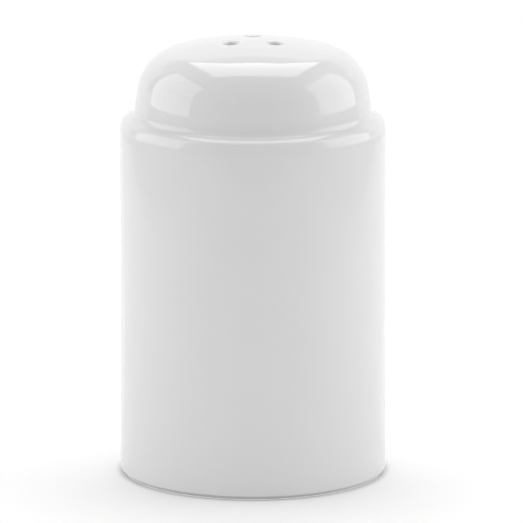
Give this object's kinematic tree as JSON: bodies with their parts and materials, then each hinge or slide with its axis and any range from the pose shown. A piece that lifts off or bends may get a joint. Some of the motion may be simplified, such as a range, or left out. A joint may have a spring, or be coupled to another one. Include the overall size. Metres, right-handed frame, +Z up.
{
  "type": "pepper pot",
  "caption": "White glazed porcelain pepper pot with a domed, pierced head and a plain round body, filled from below through a hole that a soft stopper closes.",
  "frame": {"origin": "centre of the foot ring's plane, on the body's axis", "axes": "+Z up along the body's axis; -Y is the front, the side with two of the three pouring holes; +X is to the right seen from the front"},
  "size_m": [0.05, 0.05, 0.0822],
  "materials": {
    "porcelain_glaze": "clear gloss glaze over white porcelain, bare and matt on the foot ring",
    "stopper_silicone": "satin moulded silicone, milky white"
  },
  "bodies": {
    "shell": {"porcelain_shell": "porcelain_glaze"},
    "stopper": {"stopper": "stopper_silicone"}
  },
  "joints": [
    {"name": "stopper_pull", "type": "slide", "parent": "shell", "child": "stopper", "axis": [0, 0, -1], "range_m": [0, 0.03]}
  ]
}
